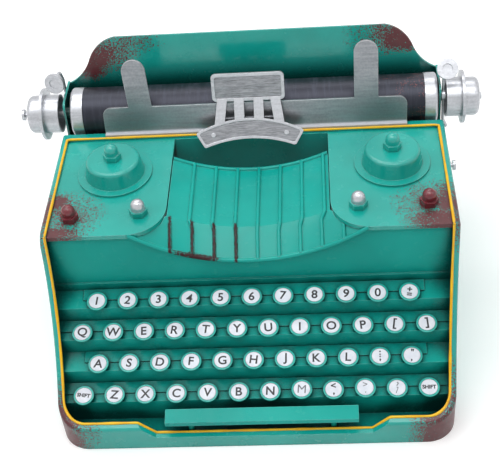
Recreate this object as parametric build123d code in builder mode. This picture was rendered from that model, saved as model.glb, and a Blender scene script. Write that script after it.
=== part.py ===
"""A small sheet-metal typewriter with pressing keys, a turning platen and a sliding carriage."""

import math
import os

from build123d import *

os.makedirs("parts", exist_ok=True)

# Lengths are in millimetres. X runs to the right, Y to the back and Z up.
# The origin is on the surface that the typewriter stands on, under the middle of its body.

# Sheet and fits
sheet = 1.2  # thickness of all bent sheet
seat_gap = 0.2  # between sheets that lie against each other
run_gap = 0.3  # between pieces that move past each other
shaft_gap = 0.06  # radial play of a shaft or pin in its hole

# Body
body_depth = 180.0
rear_width = 207.2
front_width = 199.0
rim_height = 94.0  # top of the rim round the deck
front_rim_height = 15.0
shelf_height = 78.0  # shelf behind the deck, for the carriage
rim_width = 3.8  # inward flange along the sides and the front
back_rim_width = 5.0
rim_round = 2.0
foot_width = 8.0  # inward flange that the body stands on
front_corner_radius = 15.0
back_corner_radius = 4.0
cheek_sag = 12.3  # hollow of the side rim beside the keyboard
dip_width = 109.0  # low stretch of the front rim, before the space bar
dip_run = 7.0
dip_depth = 6.6
dip_offset = 4.0

# Deck and type well
deck_depth = 76.0
well_width = 82.6
well_corner_radius = 20.0
well_setback = 1.0  # back of the well ahead of the rim line
well_wall_height = 26.0
lip_height = 2.4

# Type basket
basket_setback = 16.5  # from the rim behind the deck to the trough's rear edge
trough_length = 45.0
trough_sink = 1.0  # trough's side edges below the deck
trough_sag = 9.5
apron_arc_width = 119.0
apron_arc_sag = 20.0
basket_rod_radius = 1.15
wire_radius = 0.95
wire_lift = 0.6  # wire centres above the basket sheet
wire_count = 9
wire_pitch = 11.35
wire_offset = 4.2
wire_jog = 0.955  # share of its side distance that a wire keeps below its bend
wire_jog_run = 3.0
wire_bend_radius = 1.5

# Keyboard
key_pitch = 15.85
row_run = 11.48
row_drop = 11.01
tread_length = 10.8
tread_tilt = 15.0
apron_height = 32.5
apron_lean = 1.0
ledge_depth = 0.9
ledge_slope = 0.3
ledge_step = 4.6
floor_riser_run = 0.9
floor_depth = 12.33  # from the last riser to the front wall
stem_setback = 8.12  # from the back of a tread to its key stems
strip_width = 6.2
strip_thickness = 0.6
short_strip_length = 174.0
key_travel = 1.2
landing_gap = 0.3  # left under a pressed key
cap_radius = 5.25
cap_thickness = 1.0
cap_round = 0.35
label_radius = 4.2
label_depth = 0.25
stem_radius = 1.5
stem_tail = 3.7  # stem below its collar
collar_radius = 2.2
collar_thickness = 1.0
stem_gap = 0.25  # radial play of a stem in its guide
guide_wall = 0.9
guide_length = 2.2
raised_key_lift = 1.2
link_radius = 0.6
link_clearance = 0.4
comb_leaf = 1.0
comb_root_width = 2.0
finger_width = 3.0

# Space bar
bar_length = 97.0
bar_offset = 3.2
bar_width = 7.5
bar_lip = 2.6
bar_rise = 12.2  # rear edge above the keyboard floor
bar_setback = 5.1  # from the last tread to the bar's rear edge
bar_stem_spacing = 72.0
bar_leaf_width = 38.0

# Spool covers and fasteners
cover_spacing = 144.3
cover_offset = 1.6  # to the right
cover_setback = 28.0  # from the rim behind the deck
cover_height = 10.2
cover_top_radius = 13.8
cover_base_radius = 15.7
cover_flange_radius = 19.5
cover_round = 2.0
nut_width = 8.2  # across flats
nut_height = 3.2
nut_neck = 2.0  # straight part of the cap above the hexagon
nut_dome_radius = 3.6
nut_shank_radius = 1.9
nut_shank_grip = 4.0
inner_nut_spacing = 110.0
outer_nut_spacing = 179.6
nut_setback = 60.2
left_nut_ahead = 2.4  # left outer nut ahead of the others
side_screw_setback = 26.0
side_screw_drop = 6.0
side_screw_radius = 1.2
side_screw_head_radius = 2.6
side_screw_stand_off = 1.6
side_screw_head = 1.4

# Carriage
platen_setback = 20.0  # axis behind the rim line at the back of the deck
platen_rise = 3.8  # axis above the rim
platen_radius = 13.5
platen_length = 185.0
platen_offset = 1.2  # roller to the right of the carriage's middle
shaft_radius = 2.0
ring_radius = 13.8
ring_width = 6.9
ring_round = 1.6
end_plate_gap = 0.9  # between the right ring and its end plate
end_plate_front = 8.0  # ahead of the platen axis
end_plate_rise = 9.8  # above the platen axis
end_plate_slope = 2.0
end_plate_corner = 4.0
bush_radius = 3.6
rail_width = 5.0
rail_height = 2.5
rail_length = 184.0
runner_width = 3.0
runner_length = 140.0
base_lift = 3.2  # carriage base above the shelf
rest_gap = 2.7  # paper rest behind the platen rings
rest_straight = 18.8
rest_height = 50.3
rest_lean = 6.1
rest_top_width = 142.0
rest_shoulder_width = 178.0  # where the rounded top turns into the hollow flare
rest_shoulder_drop = 12.0
rest_tip_height = 24.8  # end of the flare above the carriage base

# Platen knobs
knob_gap = 2.8  # between an end plate and its knob
knob_cup_radius = 10.6
knob_cup_length = 8.0
knob_flange_radius = 14.3
knob_flange_thickness = 1.6
knob_cap_radius = 10.4
knob_cap_length = 8.0
knob_round = 2.8
knob_wall = 1.4
knob_screw_radius = 1.2
left_screw_stand_off = 3.0
left_screw_head = 1.5
left_screw_head_radius = 3.1
right_screw_stand_off = 0.8
right_screw_head = 0.9
right_screw_head_radius = 1.8

# Carriage levers
lever_disc_radius = 5.6
lever_disc_thickness = 1.8
lever_ring_radius = 2.7
lever_ring_depth = 0.5
lever_wire_radius = 0.85
lever_hub_radius = 2.6
lever_hub_length = 2.0
lever_pin_radius = 1.2
lever_bend_radius = 4.0
lever_disc_ahead = 1.0  # disc centres ahead of the platen axis
left_hub_behind = 12.0
left_hub_rise = 4.0
left_wire_straight = 11.0
left_bend_behind = 8.0
left_bend_rise = 22.5
left_disc_rise = 20.7
left_disc_offset = 1.4
left_disc_tilt = 12.0
left_disc_turn = 15.0
right_hub_ahead = 3.4
right_hub_rise = 4.2
right_tail_ahead = 3.6
right_tail_drop = 18.5
right_tail_splay = 2.0
right_tail_bend = 4.5  # bent-out end of the tail
right_disc_rise = 18.9
right_disc_offset = 1.8
right_disc_tilt = 43.0

# Paper plate and type guide
plate_width = 163.0
plate_offset = 2.3
plate_height = 16.0
plate_lean = 11.0
plate_flange = 3.0
plate_corner_radius = 4.5
finger_tongue_width = 12.6
finger_tongue_spacing = 120.0
left_tongue_height = 27.0
right_tongue_height = 32.0
left_tongue_tilt = 3.6
guide_slope = 53.0
guide_thickness = 1.4
crescent_front_y = 6.0  # ahead of the rim line at the back of the deck
crescent_rise = 1.2
crescent_band = 10.8
crescent_top_width = 58.0
crescent_top_sag = 7.3
crescent_low_width = 48.4
crescent_low_sag = 4.5
crescent_border = 1.3
crescent_recess = 0.4
rivet_radius = 1.2
rivet_spacing = 39.0
guide_strip_width = 5.2
guide_strip_length = 11.0
guide_strip_inner = 10.4
guide_strip_outer = 28.0
guide_strip_splay = 8.0
guide_plate_width = 38.6
guide_plate_height = 15.5
guide_plate_lean = 14.0
guide_plate_border = 1.7
guide_plate_recess = 0.5
guide_plate_corner = 2.4
guide_foot_width = 30.0

key_rows = [
    ["1", "2", "3", "4", "5", "6", "7", "8", "9", "0", "plus"],
    ["q", "w", "e", "r", "t", "y", "u", "i", "o", "p", "left_bracket", "right_bracket"],
    ["a", "s", "d", "f", "g", "h", "j", "k", "l", "colon", "quote"],
    ["shift", "z", "x", "c", "v", "b", "n", "m", "comma", "period", "question", "shift"],
]
raised_keys = ["m", "period"]

# Places worked out from the sizes above, from the front wall to the back
tilt = math.radians(tread_tilt)
tread_run = tread_length * math.cos(tilt)
tread_fall = tread_length * math.sin(tilt)
back_y = body_depth / 2
front_y = -body_depth / 2
rear_half = rear_width / 2
front_half = front_width / 2
floor_end_y = front_y + sheet + seat_gap
last_tread_y = floor_end_y + floor_depth + floor_riser_run + tread_run
first_tread_y = last_tread_y + (len(key_rows) - 1) * row_run
apron_y = first_tread_y + ledge_depth + apron_lean
deck_front_y = apron_y - sheet - seat_gap
rim_corner_y = deck_front_y - sheet - run_gap
rim_back_y = deck_front_y + deck_depth
deck_back_y = rim_back_y + back_rim_width
deck_top = rim_height - sheet
well_half = well_width / 2
well_back_y = rim_back_y - well_setback
platen_y = rim_back_y + platen_setback
platen_z = rim_height + platen_rise
nut_y = rim_back_y - nut_setback
cover_y = rim_back_y - cover_setback

floor_height = front_rim_height - dip_depth - sheet - 2 * seat_gap

tread_normal = (0, -math.sin(tilt), math.cos(tilt))
tread_thickness = sheet * (math.cos(tilt) + math.sin(tilt))
key_top = cap_thickness + strip_thickness + key_travel + landing_gap
guide_radius = stem_radius + stem_gap + guide_wall
collar_top = -tread_thickness - guide_length - run_gap
stem_bottom = collar_top - collar_thickness - stem_tail


def row_places(row):
    """Distances of a row's key stems from the middle of the keyboard."""
    count = len(key_rows[row])
    return [(place - (count - 1) / 2) * key_pitch for place in range(count)]


# Stairs of the keyboard, as points of the upper surface seen from the side
apron_top = deck_top - lip_height - seat_gap
ledge_z = deck_top - apron_height
first_tread_z = ledge_z - ledge_slope - ledge_step


def tread_back(row):
    """Rear edge of a tread, as Y and Z."""
    return first_tread_y - row * row_run, first_tread_z - row * row_drop


def tread_plane(row):
    """Plane on a tread's top, through its line of key stems, with its Y towards the back."""
    y, z = tread_back(row)
    stem_y = y - stem_setback * math.cos(tilt)
    stem_z = z - stem_setback * math.sin(tilt)
    return Plane(origin=(0, stem_y, stem_z), x_dir=(1, 0, 0), z_dir=tread_normal)


stairs = [
    (apron_y, apron_top),
    (apron_y - apron_lean, ledge_z),
    (first_tread_y, ledge_z - ledge_slope),
]
for row in range(len(key_rows)):
    y, z = tread_back(row)
    stairs += [(y, z), (y - tread_run, z - tread_fall)]
last_tread_front = stairs[-1]
stairs += [
    (last_tread_front[0] - floor_riser_run, floor_height),
    (floor_end_y, floor_height),
]
stairs_under = [(y + sheet, z - sheet) for y, z in stairs]
stairs_under[0] = (apron_y + sheet, apron_top)
stairs_under[-1] = (floor_end_y, floor_height - sheet)


def plan_sketch(inset=0.0):
    """Plan of the body, drawn in all round by inset."""
    with BuildSketch() as plan:
        with BuildLine():
            Polyline(
                (-rear_half, back_y),
                (rear_half, back_y),
                (rear_half, rim_corner_y),
                (front_half, front_y),
                (-front_half, front_y),
                (-rear_half, rim_corner_y),
                close=True,
            )
        make_face()
        fillet(plan.vertices().group_by(Axis.Y)[0], front_corner_radius)
        fillet(plan.vertices().group_by(Axis.Y)[-1], back_corner_radius)
        if inset:
            offset(amount=-inset)
    return plan.sketch


def side_sketch(inset=0.0):
    """Side view of the body, drawn in all round by inset."""
    with BuildSketch(Plane.YZ) as side:
        with BuildLine():
            cheek = SagittaArc((front_y, front_rim_height), (rim_corner_y, rim_height), -cheek_sag)
            Polyline(
                cheek @ 1,
                (deck_back_y, rim_height),
                (deck_back_y, shelf_height),
                (back_y, shelf_height),
                (back_y, 0),
                (front_y, 0),
                cheek @ 0,
            )
        make_face()
        if inset:
            offset(amount=-inset, kind=Kind.INTERSECTION)
    return side.sketch


def dip_sketch(grow=0.0):
    """Low stretch of the front rim, seen from the front."""
    half = dip_width / 2
    with BuildSketch(Plane.XZ.offset(-front_y)) as dip:
        with BuildLine():
            Polyline(
                (dip_offset - half - 2 * dip_run, front_rim_height + dip_depth),
                (dip_offset - half, front_rim_height - dip_depth),
                (dip_offset + half, front_rim_height - dip_depth),
                (dip_offset + half + 2 * dip_run, front_rim_height + dip_depth),
                close=True,
            )
        make_face()
        if grow:
            offset(amount=grow, kind=Kind.INTERSECTION)
    return dip.sketch


dip_reach = 2 * rim_width
outer_plan = plan_sketch()
outer_side = side_sketch()
dip_outline = dip_sketch()
dip_grown = dip_sketch(sheet)

with BuildPart() as cavity:
    extrude(plan_sketch(sheet), amount=rim_height)
    extrude(side_sketch(sheet), amount=rear_half, both=True, mode=Mode.INTERSECT)
    extrude(dip_grown, amount=-dip_reach, mode=Mode.SUBTRACT)

with BuildPart() as top_opening:
    extrude(plan_sketch(rim_width), amount=rim_height)
    with Locations((0, rim_back_y, 0)):
        Box(
            2 * rear_width,
            body_depth,
            4 * rim_height,
            align=(Align.CENTER, Align.MIN, Align.CENTER),
            mode=Mode.SUBTRACT,
        )
    with Locations((0, 0, sheet)):
        Box(
            2 * rear_width,
            2 * body_depth,
            rim_height,
            align=(Align.CENTER, Align.CENTER, Align.MAX),
            mode=Mode.SUBTRACT,
        )

foot_opening = plan_sketch(foot_width)

# Body: one folded shell, open at the deck, over the keyboard and underneath
with BuildPart() as body_shell:
    extrude(outer_plan, amount=rim_height)
    extrude(outer_side, amount=rear_half, both=True, mode=Mode.INTERSECT)
    rim_edges = body_shell.edges().filter_by(
        lambda e: e.center().Z > front_rim_height - 1
        and abs(e.center().X) > front_half - front_corner_radius
        and e.center().Y < deck_back_y
        and abs(e.tangent_at(0.5).X) < 0.99
        and abs(e.tangent_at(0.5).Z) < 0.999
    )
    front_edges = body_shell.edges().filter_by(
        lambda e: abs(e.center().Z - front_rim_height) < 1 and abs(e.center().X) < 1
    )
    fillet(rim_edges + front_edges, rim_round)
    extrude(dip_outline, amount=-dip_reach, mode=Mode.SUBTRACT)
    add(cavity.part, mode=Mode.SUBTRACT)
    add(top_opening.part, mode=Mode.SUBTRACT)
    extrude(foot_opening, amount=2 * sheet, both=True, mode=Mode.SUBTRACT)
    with Locations((0, platen_y, shelf_height)):
        Box(rail_length, rail_width, rail_height, align=(Align.CENTER, Align.CENTER, Align.MIN))
    with Locations(
        Plane(
            origin=(rear_half, rim_back_y - side_screw_setback, rim_height - side_screw_drop),
            z_dir=(1, 0, 0),
        )
    ):
        Hole(side_screw_radius + seat_gap, depth=2 * sheet)
body_shell.part.label = "body_shell"
export_step(body_shell.part, "parts/body_shell.step")


def deck_sketch(grow=0.0):
    """Plan of the U-shaped deck, with its well cut out."""
    inside = plan_sketch(sheet + seat_gap)
    with BuildSketch() as deck:
        add(inside)
        with Locations((0, deck_front_y)):
            Rectangle(
                2 * rear_width, body_depth, align=(Align.CENTER, Align.MAX), mode=Mode.SUBTRACT
            )
        with Locations((0, deck_back_y - sheet - seat_gap)):
            Rectangle(
                2 * rear_width, body_depth, align=(Align.CENTER, Align.MIN), mode=Mode.SUBTRACT
            )
        with Locations((0, well_back_y)):
            Rectangle(
                well_width, body_depth, align=(Align.CENTER, Align.MAX), mode=Mode.SUBTRACT
            )
        well_corners = deck.vertices().filter_by(
            lambda v: abs(abs(v.X) - well_half) < 0.01 and v.Y < deck_front_y + 0.01
        )
        fillet(well_corners, well_corner_radius)
        if grow:
            offset(amount=grow)
    return deck.sketch


nut_places = [
    (-inner_nut_spacing / 2, nut_y),
    (inner_nut_spacing / 2, nut_y),
    (-outer_nut_spacing / 2, nut_y - left_nut_ahead),
    (outer_nut_spacing / 2, nut_y),
]
cover_places = [(cover_offset + side * cover_spacing / 2, cover_y) for side in (-1, 1)]

deck_outline = deck_sketch()
deck_inside = deck_sketch(-sheet)
deck_clear = deck_sketch(seat_gap)

# Deck: a plate with a folded lip, and the wall at the back of the type well
with BuildPart() as deck_plate:
    extrude(deck_outline, amount=lip_height)
    extrude(deck_inside, amount=lip_height - sheet, mode=Mode.SUBTRACT)
    with Locations((0, well_back_y, lip_height)):
        Box(
            well_width,
            sheet,
            well_wall_height,
            align=(Align.CENTER, Align.MIN, Align.MAX),
        )
    with Locations(*[(x, y, lip_height) for x, y in nut_places + cover_places]):
        Hole(nut_shank_radius + seat_gap)
    deck_plate.part.position = (0, 0, deck_top - lip_height)
deck_plate.part.label = "deck_plate"
export_step(deck_plate.part, "parts/deck_plate.step")


def arc_radius(width, sag):
    """Radius of an arc from its chord and its sag."""
    return (width * width / 4 + sag * sag) / (2 * sag)


def arc_height(x, width, sag, end_z):
    """Height at x of a hanging arc whose ends are at end_z."""
    radius = arc_radius(width, sag)
    return end_z - sag + radius - math.sqrt(radius * radius - x * x)


trough_width = well_width - 4 * seat_gap
trough_end_z = deck_top - trough_sink
trough_back_y = rim_back_y - basket_setback
kink_y = trough_back_y - trough_length
basket_front_y = deck_front_y + seat_gap
apron_arc_z = deck_top - seat_gap


def arc_band(y, width, sag, end_z):
    """Sheet that hangs in an arc, seen from the front, in the plane at y."""
    half = width / 2
    with BuildSketch(Plane.XZ.offset(-y)) as band:
        with BuildLine():
            upper = ThreePointArc((-half, end_z), (0, end_z - sag), (half, end_z))
            low_z = end_z - sheet
            lower = ThreePointArc((-half, low_z), (0, low_z - sag), (half, low_z))
            Line(upper @ 0, lower @ 0)
            Line(upper @ 1, lower @ 1)
        make_face()
    return band.sketch


# Keyboard: apron, ledge, treads with key strips and drawn stem guides, and floor, in one sheet
full_strips = (1, 3)
bar_stem_y = last_tread_front[0] - bar_setback - bar_width * math.cos(tilt) / 2
bar_stem_places = [(bar_offset + side * bar_stem_spacing / 2, bar_stem_y) for side in (-1, 1)]
seat_plan = plan_sketch(sheet + 2 * seat_gap)

# Room for the inward flange of the side rims, which the ends of the treads pass under
with BuildPart() as rim_room:
    extrude(outer_plan, amount=rim_height)
    extrude(plan_sketch(rim_width + seat_gap), amount=rim_height, mode=Mode.SUBTRACT)
    extrude(side_sketch(sheet + seat_gap), amount=rear_half, both=True, mode=Mode.SUBTRACT)

with BuildPart() as keyboard_steps:
    with BuildSketch(Plane.YZ):
        with BuildLine():
            Polyline(*stairs, *reversed(stairs_under), close=True)
        make_face()
    extrude(amount=rear_half, both=True)
    for row in range(len(key_rows)):
        strip_length = rear_width if row in full_strips else short_strip_length
        with BuildSketch(tread_plane(row)):
            with Locations((0, stem_setback - strip_width / 2)):
                Rectangle(strip_length, strip_width)
        extrude(amount=strip_thickness)
        with BuildSketch(tread_plane(row)):
            with Locations(*[(x, 0) for x in row_places(row)]):
                Circle(guide_radius)
        extrude(amount=-tread_thickness - guide_length)
    extrude(seat_plan, amount=rim_height, mode=Mode.INTERSECT)
    add(rim_room.part, mode=Mode.SUBTRACT)
    for row in range(len(key_rows)):
        with BuildSketch(tread_plane(row)):
            with Locations(*[(x, 0) for x in row_places(row)]):
                Circle(stem_radius + stem_gap)
        extrude(amount=tread_length, both=True, mode=Mode.SUBTRACT)
    with BuildSketch(Plane.XY.offset(floor_height)):
        with Locations(*bar_stem_places):
            Circle(stem_radius + stem_gap)
    extrude(amount=2 * sheet, both=True, mode=Mode.SUBTRACT)
    arch_radius = arc_radius(apron_arc_width, apron_arc_sag) + sheet + seat_gap
    arch_centre = apron_arc_z - apron_arc_sag - sheet - seat_gap + arch_radius
    with BuildSketch(Plane.XZ.offset(-apron_y)):
        with Locations((0, arch_centre)):
            Circle(arch_radius)
    extrude(amount=2 * sheet, both=True, mode=Mode.SUBTRACT)
keyboard_steps.part.label = "keyboard_steps"
export_step(keyboard_steps.part, "parts/keyboard_steps.step")


def slope_point(x, share):
    """Wire centre on the basket's sloping front, at a share of the way down from the bend."""
    half = (trough_width + (apron_arc_width - trough_width) * share) / 2
    top = arc_height(x / half * trough_width / 2, trough_width, trough_sag, trough_end_z)
    low = arc_height(x / half * apron_arc_width / 2, apron_arc_width, apron_arc_sag, apron_arc_z)
    y = kink_y + (basket_front_y - kink_y) * share
    return x, y, top + (low - top) * share + wire_lift


def wire_points(x):
    """Bend points of a type wire, from its rear end to the rod on the apron."""
    low_x = x * wire_jog
    if abs(x) < trough_width / 2 - 2 * wire_radius:
        top = arc_height(x, trough_width, trough_sag, trough_end_z) + wire_lift
        start = [(x, trough_back_y, top), (x, kink_y, top)]
    else:
        start = []
    edge_share = (2 * abs(low_x) + 4 * wire_radius - trough_width) / (apron_arc_width - trough_width)
    share = max(edge_share, wire_jog_run / (kink_y - basket_front_y))
    return start + [slope_point(low_x, share), slope_point(low_x, 1)]


wire_places = [wire_offset + (n - (wire_count - 1) / 2) * wire_pitch for n in range(wire_count)]
rod_lines = [
    (trough_back_y, trough_width, trough_sag, trough_end_z),
    (basket_front_y, apron_arc_width, apron_arc_sag, apron_arc_z),
]

# Type basket: a curved trough that drops to the apron, with its rods and bent wires
with BuildPart() as type_basket:
    extrude(
        arc_band(trough_back_y, trough_width, trough_sag, trough_end_z), amount=trough_length
    )
    loft(
        [
            arc_band(kink_y, trough_width, trough_sag, trough_end_z),
            arc_band(basket_front_y, apron_arc_width, apron_arc_sag, apron_arc_z),
        ],
        ruled=True,
    )
    for y, width, sag, end_z in rod_lines:
        with BuildLine(Plane.XZ.offset(-y)) as rod:
            ThreePointArc((-width / 2, end_z), (0, end_z - sag), (width / 2, end_z))
        with BuildSketch(Plane(origin=rod.line @ 0, z_dir=rod.line % 0)):
            Circle(basket_rod_radius)
        sweep(path=rod.line)
    for x in wire_places:
        bends = wire_points(x)
        with BuildLine() as wire:
            if len(bends) > 2:
                FilletPolyline(*bends, radius=wire_bend_radius)
            else:
                Line(*bends)
        with BuildSketch(Plane(origin=wire.line @ 0, z_dir=wire.line % 0)):
            Circle(wire_radius)
        sweep(path=wire.line)
    with BuildSketch(Plane.XY.offset(deck_top - lip_height - seat_gap)):
        add(deck_clear)
    extrude(amount=rim_height, mode=Mode.SUBTRACT)
type_basket.part.label = "type_basket"
export_step(type_basket.part, "parts/type_basket.step")


# Spool covers: two spun domes with flat flanges
with BuildSketch(Plane.XZ) as cover_section:
    hole_radius = nut_shank_radius + seat_gap
    inner_top = cover_height - sheet
    with BuildLine():
        Polyline(
            (hole_radius, cover_height),
            (cover_top_radius, cover_height),
            (cover_base_radius, sheet),
            (cover_flange_radius, sheet),
            (cover_flange_radius, 0),
            (cover_base_radius - sheet, 0),
            (cover_top_radius - sheet, inner_top),
            (hole_radius, inner_top),
            close=True,
        )
    make_face()
    fillet(
        cover_section.vertices().filter_by(lambda v: v.Y > inner_top + 0.1 and v.X > hole_radius + 1),
        cover_round,
    )

with BuildPart() as cover:
    revolve(cover_section.sketch, axis=Axis.Z)

with BuildPart() as spool_covers:
    with Locations(*[(x, y, deck_top) for x, y in cover_places]):
        add(cover.part)
spool_covers.part.label = "spool_covers"
export_step(spool_covers.part, "parts/spool_covers.step")

# Fasteners: cap nuts on the deck and on the covers, and the screw in the right side
with BuildPart() as cap_nut:
    with BuildSketch():
        RegularPolygon(nut_width / 2, 6, major_radius=False)
    extrude(amount=nut_height)
    with BuildSketch():
        Circle(nut_dome_radius)
    extrude(amount=nut_height + nut_neck)
    with Locations((0, 0, nut_height + nut_neck)):
        Sphere(nut_dome_radius)
    Cylinder(
        nut_shank_radius, nut_shank_grip, align=(Align.CENTER, Align.CENTER, Align.MAX)
    )

with BuildPart() as fasteners:
    with Locations(*[(x, y, deck_top) for x, y in nut_places]):
        add(cap_nut.part)
    with Locations(*[(x, y, deck_top + cover_height) for x, y in cover_places]):
        add(cap_nut.part)
    with BuildSketch(
        Plane(
            origin=(rear_half, rim_back_y - side_screw_setback, rim_height - side_screw_drop),
            z_dir=(1, 0, 0),
        )
    ) as side_screw:
        Circle(side_screw_radius)
    extrude(amount=side_screw_stand_off + side_screw_head)
    extrude(side_screw.sketch, amount=-2 * sheet)
    with BuildSketch(
        Plane(
            origin=(
                rear_half + side_screw_stand_off,
                rim_back_y - side_screw_setback,
                rim_height - side_screw_drop,
            ),
            z_dir=(1, 0, 0),
        )
    ):
        Circle(side_screw_head_radius)
    extrude(amount=side_screw_head)
fasteners.part.label = "fasteners"
export_step(fasteners.part, "parts/fasteners.step")

# Type guide: a bare plate on four strips that rise from a crescent, on a foot behind it
slope = math.radians(guide_slope)
guide_plane = Plane(
    origin=(0, rim_back_y - crescent_front_y, rim_height + crescent_rise),
    x_dir=(1, 0, 0),
    z_dir=(0, -math.sin(slope), math.cos(slope)),
)
strip_top = crescent_band + guide_strip_length
crescent_face = guide_plane.offset(guide_thickness)
plate_tilt = math.radians(guide_plate_lean)
guide_plate_plane = Plane(
    origin=guide_plane.from_local_coords((0, strip_top, 0)),
    x_dir=(1, 0, 0),
    z_dir=(0, -math.cos(plate_tilt), math.sin(plate_tilt)),
)


def crescent_sketch(plane, inset=0.0):
    """The crescent on a plane, drawn in all round by inset."""
    top_half = crescent_top_width / 2
    low_half = crescent_low_width / 2
    top_end = crescent_band - crescent_top_sag
    with BuildSketch(plane) as crescent:
        with BuildLine():
            upper = ThreePointArc((-top_half, top_end), (0, crescent_band), (top_half, top_end))
            lower = ThreePointArc((-low_half, -crescent_low_sag), (0, 0), (low_half, -crescent_low_sag))
            Line(upper @ 0, lower @ 0)
            Line(upper @ 1, lower @ 1)
        make_face()
        if inset:
            offset(amount=-inset, kind=Kind.INTERSECTION)
        fillet(crescent.vertices(), crescent_border)
    return crescent.sketch


def crescent_middle(x):
    """Height of the crescent's middle line at x, on its plane."""
    top = crescent_band - arc_height(x, crescent_top_width, crescent_top_sag, crescent_top_sag)
    low = -arc_height(x, crescent_low_width, crescent_low_sag, crescent_low_sag)
    return (top + low) / 2


with BuildPart() as type_guide:
    extrude(crescent_sketch(guide_plane), amount=guide_thickness)
    with BuildSketch(guide_plane):
        for side in (-1, 1):
            for spacing, splay in ((guide_strip_inner, 0), (guide_strip_outer, guide_strip_splay)):
                with Locations(Location((side * spacing / 2, strip_top), side * splay)):
                    Rectangle(
                        guide_strip_width,
                        strip_top - crescent_band / 2,
                        align=(Align.CENTER, Align.MAX),
                    )
    extrude(amount=guide_thickness)
    recess = crescent_sketch(crescent_face, crescent_border)
    extrude(recess, amount=-crescent_recess, mode=Mode.SUBTRACT)
    with BuildSketch(crescent_face):
        for x in (-rivet_spacing / 2, rivet_spacing / 2):
            with Locations((x, crescent_middle(x))):
                Circle(rivet_radius)
    extrude(amount=-crescent_recess)
    with BuildSketch(guide_plate_plane):
        with Locations((0, guide_plate_height / 2 - guide_thickness)):
            RectangleRounded(guide_plate_width, guide_plate_height, guide_plate_corner)
    extrude(amount=guide_thickness)
    with BuildSketch(guide_plate_plane.offset(guide_thickness)):
        with Locations((0, guide_plate_height / 2 - guide_thickness)):
            RectangleRounded(
                guide_plate_width - 2 * guide_plate_border,
                guide_plate_height - 2 * guide_plate_border,
                guide_plate_corner / 2,
            )
    extrude(amount=-guide_plate_recess, mode=Mode.SUBTRACT)
    foot_reach = crescent_front_y * math.tan(slope) + crescent_rise
    with Locations((0, rim_back_y + seat_gap, rim_height)):
        Box(
            guide_foot_width,
            sheet,
            foot_reach + sheet,
            align=(Align.CENTER, Align.MIN, Align.MIN),
        )
type_guide.part.label = "type_guide"
export_step(type_guide.part, "parts/type_guide.step")

# Paper plate: an upright plate with two tongues, on a flange on the rim behind the deck
plate_flange_y = rim_back_y + sheet + 2 * seat_gap
plate_angle = math.radians(plate_lean)
plate_plane = Plane(
    origin=(plate_offset, plate_flange_y + plate_flange - sheet, rim_height),
    x_dir=(1, 0, 0),
    z_dir=(0, -math.cos(plate_angle), math.sin(plate_angle)),
)

with BuildPart() as paper_plate:
    with BuildSketch(plate_plane) as upright:
        with Locations((0, plate_height / 2)):
            Rectangle(plate_width, plate_height)
        fillet(upright.vertices().group_by(Axis.Y)[-1], plate_corner_radius)
        for side, rise, turn in (
            (-1, left_tongue_height, left_tongue_tilt),
            (1, right_tongue_height, 0),
        ):
            low = plate_height / 2
            high = plate_height + rise - finger_tongue_width / 2
            with Locations(Location((side * finger_tongue_spacing / 2, 0), turn)):
                SlotCenterPoint((0, (low + high) / 2), (0, high), finger_tongue_width)
    extrude(amount=-sheet)
    with Locations((plate_offset, plate_flange_y, rim_height)):
        Box(plate_width, plate_flange, sheet, align=(Align.CENTER, Align.MIN, Align.MIN))
    with Locations((0, 0, rim_height)):
        Box(
            2 * rear_width,
            2 * body_depth,
            sheet,
            align=(Align.CENTER, Align.CENTER, Align.MAX),
            mode=Mode.SUBTRACT,
        )
paper_plate.part.label = "paper_plate"
export_step(paper_plate.part, "parts/paper_plate.step")

# Carriage frame: a base with runners on the rail, two end plates and the curved paper rest
ring_end = platen_length / 2 + ring_width
end_plate_x = platen_offset + ring_end + end_plate_gap
carriage_half = end_plate_x + sheet
base_z = shelf_height + base_lift
end_plate_top = platen_z + end_plate_rise
rest_y = platen_y + ring_radius + rest_gap
rest_top = base_z + rest_height
right_hub = (platen_y - right_hub_ahead, platen_z + right_hub_rise)
left_hub = (platen_y + left_hub_behind, platen_z + left_hub_rise)

with BuildPart() as paper_rest:
    with BuildSketch(Plane.YZ):
        with BuildLine():
            upright_line = Line((rest_y, base_z), (rest_y, base_z + rest_straight))
            TangentArc(upright_line @ 1, (rest_y + rest_lean, rest_top), tangent=(0, 1))
        trace(line_width=sheet)
    extrude(amount=carriage_half, both=True)
    with BuildSketch(Plane.XZ) as rest_outline:
        with BuildLine():
            shoulder = TangentArc(
                (rest_top_width / 2, rest_top),
                (rest_shoulder_width / 2, rest_top - rest_shoulder_drop),
                tangent=(1, 0),
            )
            flare = TangentArc(
                shoulder @ 1, (carriage_half, base_z + rest_tip_height), tangent=shoulder % 1
            )
            Polyline(
                flare @ 1,
                (carriage_half, base_z),
                (0, base_z),
                (0, rest_top),
                shoulder @ 0,
            )
        make_face()
        mirror(about=Plane.YZ)
    extrude(rest_outline.sketch, amount=body_depth, both=True, mode=Mode.INTERSECT)

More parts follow.
